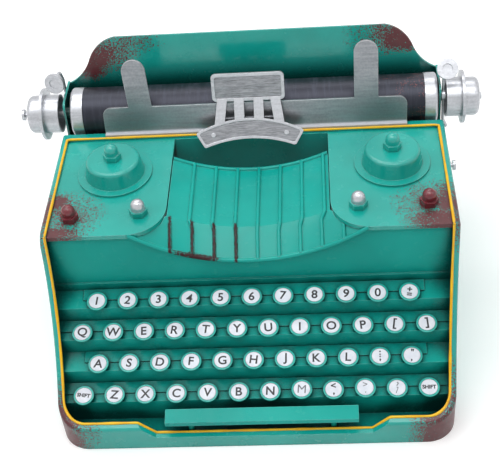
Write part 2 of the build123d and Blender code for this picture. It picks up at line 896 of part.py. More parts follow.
with BuildPart() as carriage_frame:
    add(paper_rest.part)
    base_front = platen_y - end_plate_front
    base_depth = rest_y + sheet / 2 - base_front
    with Locations((0, base_front, base_z)):
        Box(
            2 * carriage_half, base_depth, sheet, align=(Align.CENTER, Align.MIN, Align.MIN)
        )
    runner_y = (rail_width + runner_width) / 2 + run_gap
    with Locations(*[(0, platen_y + side * runner_y, base_z) for side in (-1, 1)]):
        Box(
            runner_length,
            runner_width,
            base_lift - run_gap,
            align=(Align.CENTER, Align.CENTER, Align.MAX),
        )
    for side in (-1, 1):
        with BuildSketch(Plane.YZ.offset(side * end_plate_x)) as end_plate:
            with BuildLine():
                Polyline(
                    (base_front, base_z),
                    (base_front + end_plate_slope, end_plate_top),
                    (rest_y, end_plate_top),
                    (rest_y, base_z),
                    close=True,
                )
            make_face()
            fillet(end_plate.vertices().group_by(Axis.Y)[-1].sort_by(Axis.X)[0], end_plate_corner)
        extrude(amount=side * sheet)
        with BuildSketch(Plane.YZ.offset(side * end_plate_x)):
            with Locations((platen_y, platen_z)):
                Circle(bush_radius)
        ring_gap = end_plate_x - ring_end - side * platen_offset
        extrude(amount=-side * (ring_gap - run_gap))
    with BuildSketch(Plane.YZ):
        with Locations((platen_y, platen_z)):
            Circle(shaft_radius + shaft_gap)
    extrude(amount=2 * carriage_half, both=True, mode=Mode.SUBTRACT)
    for side, (y, z) in ((-1, left_hub), (1, right_hub)):
        with BuildSketch(Plane.YZ.offset(side * end_plate_x)):
            with Locations((y, z)):
                Circle(lever_pin_radius + shaft_gap)
        extrude(amount=2 * sheet, both=True, mode=Mode.SUBTRACT)
carriage_frame.part.label = "carriage_frame"
export_step(carriage_frame.part, "parts/carriage_frame.step")

# Platen: the roller, on the shaft of the knobs
with BuildPart() as platen:
    with BuildSketch(Plane.YZ.offset(platen_offset)):
        with Locations((platen_y, platen_z)):
            Circle(platen_radius)
            Circle(shaft_radius + shaft_gap, mode=Mode.SUBTRACT)
    extrude(amount=platen_length / 2 - shaft_gap, both=True)
platen.part.label = "platen"
export_step(platen.part, "parts/platen.step")

# Platen knobs: shaft, end rings, and at each end an open cup, a flange and a cap with a screw
spin_plane = Plane(origin=(0, platen_y, platen_z))
spin_axis = Axis((0, platen_y, platen_z), (1, 0, 0))
knob_start = carriage_half + knob_gap
flange_start = knob_start + knob_cup_length
cap_start = flange_start + knob_flange_thickness
knob_end = cap_start + knob_cap_length

with BuildSketch(spin_plane) as knob_section:
    with BuildLine():
        Polyline(
            (knob_start, knob_cup_radius),
            (flange_start, knob_cup_radius),
            (flange_start, knob_flange_radius),
            (cap_start, knob_flange_radius),
            (cap_start, knob_cap_radius),
            (knob_end, knob_cap_radius),
            (knob_end, 0),
            (flange_start - knob_wall, 0),
            (flange_start - knob_wall, knob_cup_radius - knob_wall),
            (knob_start, knob_cup_radius - knob_wall),
            close=True,
        )
    make_face()
    cap_edge = knob_section.vertices().group_by(Axis.X)[-1].sort_by(Axis.Y)[-1]
    fillet(cap_edge, knob_round)

with BuildSketch(spin_plane) as ring_section:
    with Locations((platen_length / 2, 0)):
        Rectangle(ring_width, ring_radius, align=(Align.MIN, Align.MIN))
    fillet(ring_section.vertices().group_by(Axis.X)[-1].sort_by(Axis.Y)[-1], ring_round)

with BuildPart() as end_rings:
    revolve(ring_section.sketch, axis=spin_axis)
    mirror(about=Plane.YZ)

knob_screws = [
    (-1, left_screw_stand_off, left_screw_head, left_screw_head_radius),
    (1, right_screw_stand_off, right_screw_head, right_screw_head_radius),
]

with BuildPart() as platen_knobs:
    revolve(knob_section.sketch, axis=spin_axis)
    with BuildSketch(spin_plane):
        Rectangle(flange_start, shaft_radius, align=(Align.MIN, Align.MIN))
    revolve(axis=spin_axis)
    mirror(about=Plane.YZ)
    with Locations((platen_offset, 0, 0)):
        add(end_rings.part)
    for side, stand_off, head, head_radius in knob_screws:
        with BuildSketch(spin_plane):
            with Locations((side * knob_end, 0)):
                Rectangle(2 * stand_off, knob_screw_radius, align=(Align.CENTER, Align.MIN))
            with Locations((side * (knob_end + stand_off + head / 2), 0)):
                Rectangle(head, head_radius, align=(Align.CENTER, Align.MIN))
        revolve(axis=spin_axis)
platen_knobs.part.label = "platen_knobs"
export_step(platen_knobs.part, "parts/platen_knobs.step")

# Carriage levers: a hub on a pin in the end plate, a bent wire and a finger disc
hub_x = carriage_half + run_gap
lever_x = hub_x + lever_hub_length / 2
disc_y = platen_y - lever_disc_ahead
tail_y = right_hub[0] - right_tail_ahead
tail_z = right_hub[1] - right_tail_drop


def disc_plane(x, rise, tilt_up, turn):
    """Plane of a finger disc, tilted up towards the typist and turned to the side."""
    up = math.radians(tilt_up)
    out = math.radians(turn)
    facing = (math.sin(out) * math.cos(up), -math.cos(out) * math.cos(up), math.sin(up))
    return Plane(origin=(x, disc_y, platen_z + rise), z_dir=facing)


left_disc = disc_plane(-lever_x - left_disc_offset, left_disc_rise, left_disc_tilt, -left_disc_turn)
right_disc = disc_plane(lever_x + right_disc_offset, right_disc_rise, right_disc_tilt, 0)
levers = [
    (
        "left_lever",
        -1,
        left_hub,
        left_disc,
        [
            (-lever_x, left_hub[0], left_hub[1]),
            (-lever_x, left_hub[0], left_hub[1] + left_wire_straight),
            (-lever_x, platen_y + left_bend_behind, platen_z + left_bend_rise),
            left_disc.offset(-lever_ring_depth / 2).origin,
        ],
    ),
    (
        "right_lever",
        1,
        right_hub,
        right_disc,
        [
            (lever_x + right_tail_splay, tail_y, tail_z),
            (lever_x, tail_y, tail_z + right_tail_bend),
            (lever_x, right_hub[0], right_hub[1]),
            (lever_x, disc_y, platen_z + right_disc_rise),
        ],
    ),
]

for name, side, hub, finger_plane, bends in levers:
    with BuildPart() as lever:
        with BuildSketch(Plane.YZ.offset(side * hub_x)):
            with Locations(hub):
                Circle(lever_hub_radius)
        extrude(amount=side * lever_hub_length)
        with BuildSketch(Plane.YZ.offset(side * hub_x)):
            with Locations(hub):
                Circle(lever_pin_radius)
        extrude(amount=-side * (sheet + run_gap))
        with BuildLine() as wire:
            FilletPolyline(*bends, radius=lever_bend_radius)
        with BuildSketch(Plane(origin=wire.line @ 0, z_dir=wire.line % 0)):
            Circle(lever_wire_radius)
        sweep(path=wire.line)
        with BuildSketch(finger_plane):
            Circle(lever_disc_radius)
        extrude(amount=lever_disc_thickness / 2, both=True)
        with BuildSketch(finger_plane.offset(lever_disc_thickness / 2)):
            Circle(lever_ring_radius)
        extrude(amount=-lever_ring_depth, mode=Mode.SUBTRACT)
    lever.part.label = name
    export_step(lever.part, f"parts/{name}.step")

# Space bar: a tilted plate with a front lip, on two stems with collars under the floor
bar_back_y = last_tread_front[0] - bar_setback
bar_back_z = floor_height + bar_rise
bar_front_y = bar_back_y - bar_width * math.cos(tilt)
bar_front_z = bar_back_z - bar_width * math.sin(tilt)
bar_drop = sheet / math.cos(tilt)
bar_collar_top = floor_height - sheet - run_gap
bar_stem_bottom = bar_collar_top - collar_thickness

with BuildPart() as space_bar:
    with BuildSketch(Plane.YZ.offset(bar_offset)):
        with BuildLine():
            Polyline(
                (bar_back_y, bar_back_z),
                (bar_front_y, bar_front_z),
                (bar_front_y, bar_front_z - bar_lip),
                (bar_front_y + sheet, bar_front_z - bar_lip),
                (bar_front_y + sheet, bar_front_z + sheet * math.tan(tilt) - bar_drop),
                (bar_back_y, bar_back_z - bar_drop),
                close=True,
            )
        make_face()
    extrude(amount=bar_length / 2, both=True)
    with Locations(*[(x, y, bar_stem_bottom) for x, y in bar_stem_places]):
        Cylinder(
            stem_radius,
            (bar_back_z + bar_front_z - bar_drop) / 2 - bar_stem_bottom,
            align=(Align.CENTER, Align.CENTER, Align.MIN),
        )
    with Locations(*[(x, y, bar_collar_top) for x, y in bar_stem_places]):
        Cylinder(
            collar_radius, collar_thickness, align=(Align.CENTER, Align.CENTER, Align.MAX)
        )
space_bar.part.label = "space_bar"
export_step(space_bar.part, "parts/space_bar.step")


def stem_plane(row, x):
    """Plane through a key's axis, with its X across the keyboard and its Y up the stem."""
    across = Vector(1, 0, 0)
    origin = tread_plane(row).from_local_coords((x, 0, 0))
    return Plane(origin=origin, x_dir=across, z_dir=across.cross(Vector(tread_normal)))


def key_sketch(row, x, lift=0.0):
    """Half of a key in section: cap with a label recess, stem and retaining collar."""
    top = key_top + lift
    under = top - cap_thickness
    collar_under = collar_top - collar_thickness
    with BuildSketch(stem_plane(row, x)) as section:
        with BuildLine():
            Polyline(
                (0, stem_bottom),
                (stem_radius, stem_bottom),
                (stem_radius, collar_under),
                (collar_radius, collar_under),
                (collar_radius, collar_top),
                (stem_radius, collar_top),
                (stem_radius, under),
                (cap_radius, under),
                (cap_radius, top),
                (label_radius, top),
                (label_radius, top - label_depth),
                (0, top - label_depth),
                close=True,
            )
        make_face()
        fillet(section.vertices().group_by(Axis.X)[-1], cap_round)
    return section.sketch


def key_axis(row, x):
    """Axis of a key's stem."""
    return Axis(tread_plane(row).from_local_coords((x, 0, 0)), tread_normal)


# Keys: each with its own stem, except that the two shift keys are one piece
for row, names in enumerate(key_rows):
    for x, name in zip(row_places(row), names):
        if name == "shift":
            continue
        lift = raised_key_lift if name in raised_keys else 0.0
        with BuildPart() as key:
            revolve(key_sketch(row, x, lift), axis=key_axis(row, x))
        key.part.label = f"key_{name}"
        export_step(key.part, f"parts/key_{name}.step")

shift_row = 3
shift_places = [row_places(shift_row)[0], row_places(shift_row)[-1]]
link_y = -stem_radius - link_clearance - link_radius
link_z = collar_top - collar_thickness - key_travel - run_gap - link_radius

# Shift keys: joined by a rod that runs below the keyboard, past the other stems of the row
with BuildPart() as shift_keys:
    for x in shift_places:
        revolve(key_sketch(shift_row, x), axis=key_axis(shift_row, x))
    with BuildSketch(tread_plane(shift_row).offset(link_z - link_radius)):
        with Locations(*[(x, 0) for x in shift_places]):
            Rectangle(2 * link_radius, -link_y, align=(Align.CENTER, Align.MAX))
    extrude(amount=2 * link_radius)
    link_start = tread_plane(shift_row).from_local_coords((shift_places[0], link_y, link_z))
    with BuildSketch(Plane(origin=link_start, z_dir=(1, 0, 0))):
        Circle(link_radius)
    extrude(amount=shift_places[1] - shift_places[0])
shift_keys.part.label = "shift_keys"
export_step(shift_keys.part, "parts/shift_keys.step")

# Return combs: under each tread a strip with a bent leaf for each key, and a leaf for the bar
comb_front = guide_radius + run_gap
comb_back = comb_front + comb_root_width
comb_root_top = -tread_thickness - seat_gap
foot_top = stem_bottom - seat_gap

with BuildPart() as key_return_combs:
    for row in range(len(key_rows)):
        places = row_places(row)
        plane = tread_plane(row)
        with BuildSketch(plane.offset(comb_root_top)):
            with Locations((0, comb_front)):
                Rectangle(
                    places[-1] - places[0] + finger_width,
                    comb_root_width,
                    align=(Align.CENTER, Align.MIN),
                )
        extrude(amount=-comb_leaf)
        with BuildSketch(plane.offset(comb_root_top)):
            with Locations(*[(x, comb_back) for x in places]):
                Rectangle(finger_width, comb_leaf, align=(Align.CENTER, Align.MAX))
        extrude(amount=foot_top - comb_leaf - comb_root_top)
        with BuildSketch(plane.offset(foot_top)):
            with Locations(*[(x, comb_back) for x in places]):
                Rectangle(finger_width, comb_back + stem_radius, align=(Align.CENTER, Align.MAX))
        extrude(amount=-comb_leaf)
    with BuildSketch(Plane.YZ.offset(bar_offset)):
        leaf_low = (bar_back_y, floor_height + seat_gap)
        leaf_high = (bar_stem_y, (bar_back_z + bar_front_z) / 2 - bar_drop - seat_gap)
        with BuildLine():
            Polyline(
                leaf_low,
                leaf_high,
                (leaf_high[0] - comb_leaf, leaf_high[1] - comb_leaf),
                (leaf_low[0] - comb_leaf, leaf_low[1]),
                close=True,
            )
        make_face()
    extrude(amount=bar_leaf_width / 2, both=True)
key_return_combs.part.label = "key_return_combs"
export_step(key_return_combs.part, "parts/key_return_combs.step")
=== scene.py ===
"""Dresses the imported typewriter: enamel, sponged speckle, key labels, yellow line, light and camera."""

import math
import random

import bmesh
import bpy
from mathutils import Matrix, Vector


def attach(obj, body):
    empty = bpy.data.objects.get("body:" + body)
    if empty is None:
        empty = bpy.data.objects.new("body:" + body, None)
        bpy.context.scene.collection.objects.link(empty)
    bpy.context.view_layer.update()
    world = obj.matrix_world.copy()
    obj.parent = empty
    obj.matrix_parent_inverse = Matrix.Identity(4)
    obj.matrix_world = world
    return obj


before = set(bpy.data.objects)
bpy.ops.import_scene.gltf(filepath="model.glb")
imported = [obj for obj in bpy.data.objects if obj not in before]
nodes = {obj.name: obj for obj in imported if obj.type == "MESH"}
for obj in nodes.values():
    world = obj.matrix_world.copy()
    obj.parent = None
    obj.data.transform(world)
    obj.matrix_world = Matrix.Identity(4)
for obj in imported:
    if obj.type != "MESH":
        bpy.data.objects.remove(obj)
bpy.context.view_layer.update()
MM = 0.001

# Sizes that the CAD source sets, in millimetres, with angles in radians
SHEET = 1.2
REAR_HALF = 103.6
FRONT_HALF = 99.5
FRONT_Y = -90.0
RIM_HEIGHT = 94.0
FRONT_RIM_HEIGHT = 15.0
RIM_CORNER_Y = -31.5
RIM_BACK_Y = 46.0
CHEEK_SAG = 12.3
CORNER_RADIUS = 15.0
DIP_MIDDLE = 4.0
DIP_HALF = 54.5
DIP_DEPTH = 6.6
DIP_RUN = 7.0
NUT_HEIGHT = 3.2
WIRE_PITCH = 11.35
WIRE_OFFSET = 4.2
WIRE_JOG = 0.955
BASKET_KINK_Y = -15.5
GUIDE_THICKNESS = 1.4
CRESCENT_ORIGIN = (0.0, 40.0, 95.2)
CRESCENT_SLOPE = math.radians(53)
NAME_PLATE_ORIGIN = (0.0, 53.12, 112.61)
NAME_PLATE_LEAN = math.radians(14)
FIRST_STEM = (-38.341, 53.298)
ROW_STEP = (-11.48, -11.01)
TREAD_TILT = math.radians(15)
KEY_PITCH = 15.85
KEY_TOP = 3.1
RAISED_KEY_LIFT = 1.2
LABEL_DEPTH = 0.25
RECESS_RADIUS = 4.2
DECK_TOP = RIM_HEIGHT - SHEET


def colour(red, green, blue):
    """Colour written as on a screen, from 0 to 255 a channel, for a shader."""
    linear = []
    for value in (red, green, blue):
        share = value / 255
        linear.append(share / 12.92 if share <= 0.04045 else ((share + 0.055) / 1.055) ** 2.4)
    return (*linear, 1.0)


# Colours
WHITE = colour(255, 255, 255)
TEAL = colour(20, 172, 160)
TEAL_DEEP = colour(14, 157, 146)
# Lighter teal on edges, for paint wear and a painted highlight
TEAL_EDGE_WEAR_HIGHLIGHT = colour(126, 208, 199)
# Dark teal for the painted shade in corners and on the risers of the keyboard
TEAL_SHADE = colour(5, 58, 54)
MAROON = colour(98, 30, 37)
MAROON_DARK = colour(62, 20, 24)
MAROON_BLACK = colour(34, 12, 14)
NUT_RED = colour(140, 34, 50)
SILVER_LIGHT = colour(198, 200, 205)
SILVER = colour(162, 164, 169)
SILVER_DARK = colour(124, 126, 131)
# Lighter silver on edges, for paint wear and a painted highlight
SILVER_EDGE_WEAR_HIGHLIGHT = colour(212, 214, 218)
# Dark silver for the brushed ground inside the borders, and for painted shade in corners
SILVER_GROUND_AND_SHADE = colour(54, 56, 60)
ROLLER_BLACK = colour(22, 23, 29)
ROLLER_RUBBED = colour(58, 60, 70)
ROLLER_SHEEN = colour(228, 232, 255)
RUST = colour(104, 56, 52)
YELLOW = colour(252, 200, 24)
YELLOW_DEEP = colour(240, 176, 16)
PAPER_WHITE = colour(232, 235, 243)
PAPER_GREY = colour(218, 222, 233)
INK = colour(20, 21, 26)
INK_THIN = colour(38, 39, 44)
FADED_INK = colour(92, 94, 100)
FADED_INK_THIN = colour(120, 122, 128)
FLOOR_WHITE = colour(250, 250, 250)
FLOOR_GREY = colour(247, 247, 247)

# Spans of a noise's values that are stretched to the full range
EVEN_SPAN = (0.3, 0.7)
WIDE_SPAN = (0.3, 0.75)

# Rounding of the edges, and paint wear with a painted highlight on them, in millimetres, and how far a
# lightened edge turns away
EDGE_ROUND = 0.35
ROUND_SAMPLES = 4
WEAR_HIGHLIGHT_REACH = 0.6
WEAR_HIGHLIGHT_SAMPLES = 6
WEAR_HIGHLIGHT_SCALE = 260.0
WEAR_HIGHLIGHT_SPAN = (0.3, 0.6)
WEAR_HIGHLIGHT_LEFT = (0.25, 1.0)
WEAR_HIGHLIGHT_TURN = (0.01, 0.16)

# Corners darkened with painted shade: the reach in millimetres, and the shares of hidden sky from and to
PLAIN_CORNER = (5.0, 0.38, 0.85)
STEP_CORNER = (14.0, 0.12, 0.52)
REST_CORNER = (20.0, 0.15, 0.7)
SILVER_CORNER = (3.0, 0.38, 0.85)
GUIDE_CORNER = (2.0, 0.38, 0.85)
CORNER_SAMPLES = 6


# Shader nodes


def put(tree, value, socket):
    """Sets a socket to a number, a colour or another socket."""
    if isinstance(value, bpy.types.NodeSocket):
        tree.links.new(value, socket)
    else:
        socket.default_value = value


def add_node(tree, kind, inputs=None, **settings):
    """Adds a shader node with its settings and inputs."""
    made = tree.nodes.new(kind)
    for key, value in settings.items():
        setattr(made, key, value)
    for key, value in (inputs or {}).items():
        put(tree, value, made.inputs[key])
    return made


def math_node(tree, operation, first, second=0.0, clamp=False):
    """Output of a Math node."""
    made = add_node(tree, "ShaderNodeMath", {0: first, 1: second}, operation=operation)
    made.use_clamp = clamp
    return made.outputs[0]


def vector_node(tree, operation, first, second=(0, 0, 0)):
    """Output of a Vector Math node."""
    made = add_node(tree, "ShaderNodeVectorMath", {0: first, 1: second}, operation=operation)
    return made.outputs["Value" if operation in ("LENGTH", "DOT_PRODUCT") else "Vector"]


def mix(tree, share, first, second):
    """Output of a colour mix."""
    made = add_node(tree, "ShaderNodeMix", {0: share, 6: first, 7: second}, data_type="RGBA")
    return made.outputs[2]


def spread(tree, value, low, high, out_low=0.0, out_high=1.0):
    """Maps a value smoothly from one range to another."""
    ends = {"Value": value, "From Min": low, "From Max": high, "To Min": out_low, "To Max": out_high}
    made = add_node(tree, "ShaderNodeMapRange", ends, interpolation_type="SMOOTHSTEP")
    return made.outputs[0]


def noise(tree, place, scale, detail=3.0, roughness=0.55):
    """Output of a noise texture at a place, with its scale in waves a metre."""
    settings = {"Vector": place, "Scale": scale, "Detail": detail, "Roughness": roughness}
    return add_node(tree, "ShaderNodeTexNoise", settings).outputs[0]


def strokes(tree, place, scales, detail, roughness):
    """Output of a noise that is drawn out into strokes, with a scale for each axis."""
    along = vector_node(tree, "MULTIPLY", place, scales)
    return noise(tree, along, 1.0, detail, roughness)


def grain(tree, place, size):
    """A random number from 0 to 1 for each grain of a size in millimetres."""
    cells = add_node(tree, "ShaderNodeTexVoronoi", {"Vector": place, "Scale": 1 / (size * MM)})
    return add_node(tree, "ShaderNodeSeparateColor", {0: cells.outputs["Color"]}).outputs[0]


def axis_of(tree, place, axis):
    """One coordinate of a place."""
    return add_node(tree, "ShaderNodeSeparateXYZ", {0: place}).outputs[axis]


def start_material(name):
    """A material with its node tree, its shader and the place of each point."""
    material = bpy.data.materials.new(name)
    material.use_nodes = True
    tree = material.node_tree
    tree.nodes.clear()
    shader = add_node(tree, "ShaderNodeBsdfPrincipled")
    output = add_node(tree, "ShaderNodeOutputMaterial")
    tree.links.new(shader.outputs[0], output.inputs[0])
    place = add_node(tree, "ShaderNodeTexCoord").outputs["Object"]
    return material, tree, shader, place


def bump(tree, shader, height, depth, strength):
    """Bumps the surface by a height, on edges that are slightly rounded."""
    edge = add_node(tree, "ShaderNodeBevel", {"Radius": EDGE_ROUND * MM}, samples=ROUND_SAMPLES)
    inputs = {
        "Strength": strength,
        "Distance": depth * MM,
        "Height": height,
        "Normal": edge.outputs[0],
    }
    made = add_node(tree, "ShaderNodeBump", inputs)
    tree.links.new(made.outputs[0], shader.inputs["Normal"])


def wear_highlight_share(tree, place):
    """Share of wear and painted highlight at a point: 1 on a sharp edge, and 0 away from it, broken up
    along the edge.
    """
    bevel = add_node(tree, "ShaderNodeBevel", {"Radius": WEAR_HIGHLIGHT_REACH * MM}, samples=WEAR_HIGHLIGHT_SAMPLES)
    facing = add_node(tree, "ShaderNodeNewGeometry").outputs["Normal"]
    same_way = vector_node(tree, "DOT_PRODUCT", bevel.outputs[0], facing)
    turned = math_node(tree, "SUBTRACT", 1.0, same_way)
    broken = spread(tree, noise(tree, place, WEAR_HIGHLIGHT_SCALE), *WEAR_HIGHLIGHT_SPAN, *WEAR_HIGHLIGHT_LEFT)
    return math_node(tree, "MULTIPLY", spread(tree, turned, *WEAR_HIGHLIGHT_TURN), broken)


def corner_shade_share(tree, reach, low, high):
    """Share of painted shade by how deep a point lies in a corner: 0 up to the low share of hidden sky, 1
    from the high.
    """
    around = {"Distance": reach * MM}
    open_sky = add_node(tree, "ShaderNodeAmbientOcclusion", around, samples=CORNER_SAMPLES)
    return spread(tree, math_node(tree, "SUBTRACT", 1.0, open_sky.outputs["AO"]), low, high)


# Sponged maroon

SPONGE_SCALE = 110.0
SPONGE_BOOST = (1.0, 1.7)
SPONGE_ROUGHNESS = 0.22
MAROON_SCALE = 420.0
FINE_GRAIN = 0.32
COARSE_GRAIN = 0.55
COARSE_SHARE = 0.7
GRAIN_EDGE = 0.05
WIRE_DAB_HALF = 1.15
WIRE_DAB_END = BASKET_KINK_Y + 2.0
WIRE_DAB_FULL = BASKET_KINK_Y - 1.0


def dab_cover(tree, place, dabs):
    """Thickness of the dabs at a point: 1 in the middle of a dab, and 0 from its edge on."""
    cover = 0.0
    for middle, radii, weight in dabs:
        offset = vector_node(tree, "SUBTRACT", place, [v * MM for v in middle])
        scaled = vector_node(tree, "DIVIDE", offset, [v * MM for v in radii])
        near = math_node(tree, "SUBTRACT", 1.0, vector_node(tree, "LENGTH", scaled), clamp=True)
        cover = math_node(tree, "MAXIMUM", cover, math_node(tree, "MULTIPLY", near, weight))
    return cover


def wire_cover(tree, place, steps):
    """Thickness of the paint on the front halves of some wires of the type basket."""
    x = axis_of(tree, place, "X")
    cover = 0.0
    for step in steps:
        wire_x = (WIRE_OFFSET + WIRE_PITCH * step) * WIRE_JOG * MM
        away = math_node(tree, "ABSOLUTE", math_node(tree, "SUBTRACT", x, wire_x))
        share = math_node(tree, "DIVIDE", away, WIRE_DAB_HALF * MM)
        near = math_node(tree, "SUBTRACT", 1.0, share, clamp=True)
        cover = math_node(tree, "MAXIMUM", cover, near)
    y = axis_of(tree, place, "Y")
    bent_down = spread(tree, y, WIRE_DAB_FULL * MM, WIRE_DAB_END * MM, 1, 0)
    return math_node(tree, "MULTIPLY", cover, bent_down)


def grains(tree, place, density, size):
    """Grains of a size, as many as the density says."""
    share = math_node(tree, "SUBTRACT", density, grain(tree, place, size))
    return spread(tree, share, 0.0, GRAIN_EDGE)


def sponge_mask(tree, place, cover):
    """Share of maroon: solid where the cover is thick, and thinning out into fine grains."""
    cloud = spread(tree, noise(tree, place, SPONGE_SCALE), *EVEN_SPAN, *SPONGE_BOOST)
    density = math_node(tree, "MULTIPLY", cover, cloud, clamp=True)
    fine = grains(tree, place, density, FINE_GRAIN)
    thinner = math_node(tree, "MULTIPLY", density, COARSE_SHARE)
    coarse = grains(tree, place, thinner, COARSE_GRAIN)
    return math_node(tree, "MAXIMUM", fine, coarse)


# Teal enamel

SPRAY_SCALE = 22.0
GLOSS_SCALE = 160.0
ENAMEL_ROUGHNESS = (0.16, 0.30)
ENAMEL_WEAR_AND_HIGHLIGHT = 0.55
ENAMEL_GRAIN = 300.0
COAT_SHARE = 0.4
COAT_ROUGHNESS = 0.1


def enamel(tree, place, corner=PLAIN_CORNER):
    """Colour and roughness of the teal enamel: uneven from spraying, lighter on edges from wear and a
    painted highlight, with painted shade in corners.
    """
    cloud = spread(tree, noise(tree, place, SPRAY_SCALE), *EVEN_SPAN)
    base = mix(tree, cloud, TEAL_DEEP, TEAL)
    # Painted highlight and wear: the teal is lighter along sharp edges
    worn_and_lit = math_node(tree, "MULTIPLY", wear_highlight_share(tree, place), ENAMEL_WEAR_AND_HIGHLIGHT)
    base = mix(tree, worn_and_lit, base, TEAL_EDGE_WEAR_HIGHLIGHT)
    # Painted shade: the teal darkens in corners and recesses where shade falls
    base = mix(tree, corner_shade_share(tree, *corner), base, TEAL_SHADE)
    rough = spread(tree, noise(tree, place, GLOSS_SCALE, detail=4.0), *WIDE_SPAN, *ENAMEL_ROUGHNESS)
    return base, rough


def teal_paint(
    name, dabs=(), wire_steps=(), reds=(MAROON_DARK, MAROON), corner=PLAIN_CORNER, gloss=0.5
):
    """Glossy enamel with, in places, sponged maroon."""
    material, tree, shader, place = start_material(name)
    base, rough = enamel(tree, place, corner)
    if dabs:
        cover = dab_cover(tree, place, dabs)
        if wire_steps:
            cover = math_node(tree, "MAXIMUM", cover, wire_cover(tree, place, wire_steps))
        mask = sponge_mask(tree, place, cover)
        red = mix(tree, noise(tree, place, MAROON_SCALE), *reds)
        base = mix(tree, mask, base, red)
        rough = math_node(tree, "ADD", rough, math_node(tree, "MULTIPLY", mask, SPONGE_ROUGHNESS))
    tree.links.new(base, shader.inputs["Base Color"])
    tree.links.new(rough, shader.inputs["Roughness"])
    shader.inputs["Specular IOR Level"].default_value = gloss
    shader.inputs["Coat Weight"].default_value = COAT_SHARE * gloss
    shader.inputs["Coat Roughness"].default_value = COAT_ROUGHNESS
    bump(tree, shader, noise(tree, place, ENAMEL_GRAIN, detail=2.0), depth=0.12, strength=0.3)
    return material


# Silver paint

SILVER_STREAKS = (60.0, 700.0, 700.0)
STREAK_SHARE = 0.5
SPECK_SCALE = 900.0
SPECK_SHARE = 0.3
SILVER_WEAR_AND_HIGHLIGHT = 0.7
SILVER_ROUGHNESS = (0.28, 0.46)
SILVER_METAL = 0.8
FOLD_METAL = 0.2
FOLD_BLEND = 1.0
FLANGE_TOP = RIM_HEIGHT + SHEET + 0.2  # just over the paper plate's flange
GUIDE_STREAKS = (40.0, 420.0, 420.0)
GROUND_STREAKS = (180.0, 1700.0, 1700.0)
GROUND_SPAN = (0.25, 0.75)
GROUND_SHARE = 0.75
BORDER_DEPTH = 0.15
GROUND_DEPTH = 0.3


def silver_look(tree, place, light, dark, streaks=SILVER_STREAKS):
    """Colour, roughness and brush streaks of silver paint, lighter on its edges from wear and a painted
    highlight.
    """
    streak = spread(tree, strokes(tree, place, streaks, detail=4.0, roughness=0.6), *WIDE_SPAN)
    speck = spread(tree, noise(tree, place, SPECK_SCALE, detail=2.0), *EVEN_SPAN)
    long_share = math_node(tree, "MULTIPLY", streak, STREAK_SHARE)
    shade = math_node(tree, "ADD", long_share, math_node(tree, "MULTIPLY", speck, SPECK_SHARE))
    base = mix(tree, shade, light, dark)
    # Painted highlight and wear: the silver is lighter along sharp edges
    worn_and_lit = math_node(tree, "MULTIPLY", wear_highlight_share(tree, place), SILVER_WEAR_AND_HIGHLIGHT)
    base = mix(tree, worn_and_lit, base, SILVER_EDGE_WEAR_HIGHLIGHT)
    rough = spread(tree, shade, 0.0, 1.0, *SILVER_ROUGHNESS)
    return base, rough, shade


def silver_paint(name, light, dark, painted_highlight_below=0.0):
    """Brushed silver paint, with a matt fold below a height that is painted light as a painted highlight.
    """
    material, tree, shader, place = start_material(name)
    base, rough, shade = silver_look(tree, place, light, dark)
    # Painted shade: the silver darkens in corners where shade falls
    base = mix(tree, corner_shade_share(tree, *SILVER_CORNER), base, SILVER_GROUND_AND_SHADE)
    # Painted highlight: the fold below the height is light and matt
    fold_top = (painted_highlight_below + FOLD_BLEND) * MM
    fold = spread(tree, axis_of(tree, place, "Z"), painted_highlight_below * MM, fold_top, 1, 0)
    tree.links.new(mix(tree, fold, base, SILVER_LIGHT), shader.inputs["Base Color"])
    tree.links.new(rough, shader.inputs["Roughness"])
    tree.links.new(spread(tree, fold, 0, 1, SILVER_METAL, FOLD_METAL), shader.inputs["Metallic"])
    bump(tree, shader, shade, depth=0.06, strength=0.4)
    return material


def depth_under(tree, place, origin, facing):
    """How far a point lies behind the front of a plate, in metres."""
    offset = vector_node(tree, "SUBTRACT", place, [v * MM for v in origin])
    height = vector_node(tree, "DOT_PRODUCT", offset, facing)
    return math_node(tree, "SUBTRACT", GUIDE_THICKNESS * MM, height)


def guide_paint(name):
    """Silver with a dark brushed ground inside the raised borders of the name plate and the crescent."""
    material, tree, shader, place = start_material(name)
    base, rough, shade = silver_look(tree, place, SILVER_LIGHT, SILVER, GUIDE_STREAKS)
    crescent_facing = (0.0, -math.sin(CRESCENT_SLOPE), math.cos(CRESCENT_SLOPE))
    plate_facing = (0.0, -math.cos(NAME_PLATE_LEAN), math.sin(NAME_PLATE_LEAN))
    crescent = depth_under(tree, place, CRESCENT_ORIGIN, crescent_facing)
    plate = depth_under(tree, place, NAME_PLATE_ORIGIN, plate_facing)
    plate_low = (NAME_PLATE_ORIGIN[2] - GUIDE_THICKNESS) * MM
    on_plate = math_node(tree, "GREATER_THAN", axis_of(tree, place, "Z"), plate_low)
    depth = mix(tree, on_plate, crescent, plate)
    sunk = spread(tree, depth, BORDER_DEPTH * MM, GROUND_DEPTH * MM)
    brushed = strokes(tree, place, GROUND_STREAKS, detail=5.0, roughness=0.7)
    stroke = spread(tree, brushed, *GROUND_SPAN)
    ground = mix(tree, stroke, SILVER_GROUND_AND_SHADE, SILVER)
    base = mix(tree, math_node(tree, "MULTIPLY", sunk, GROUND_SHARE), base, ground)
    # Painted shade: the silver darkens in the corners of the borders where shade falls
    base = mix(tree, corner_shade_share(tree, *GUIDE_CORNER), base, SILVER_GROUND_AND_SHADE)
    tree.links.new(base, shader.inputs["Base Color"])
    tree.links.new(rough, shader.inputs["Roughness"])
    shader.inputs["Metallic"].default_value = SILVER_METAL
    bump(tree, shader, math_node(tree, "ADD", shade, stroke), depth=0.06, strength=0.4)
    return material


# Other paints

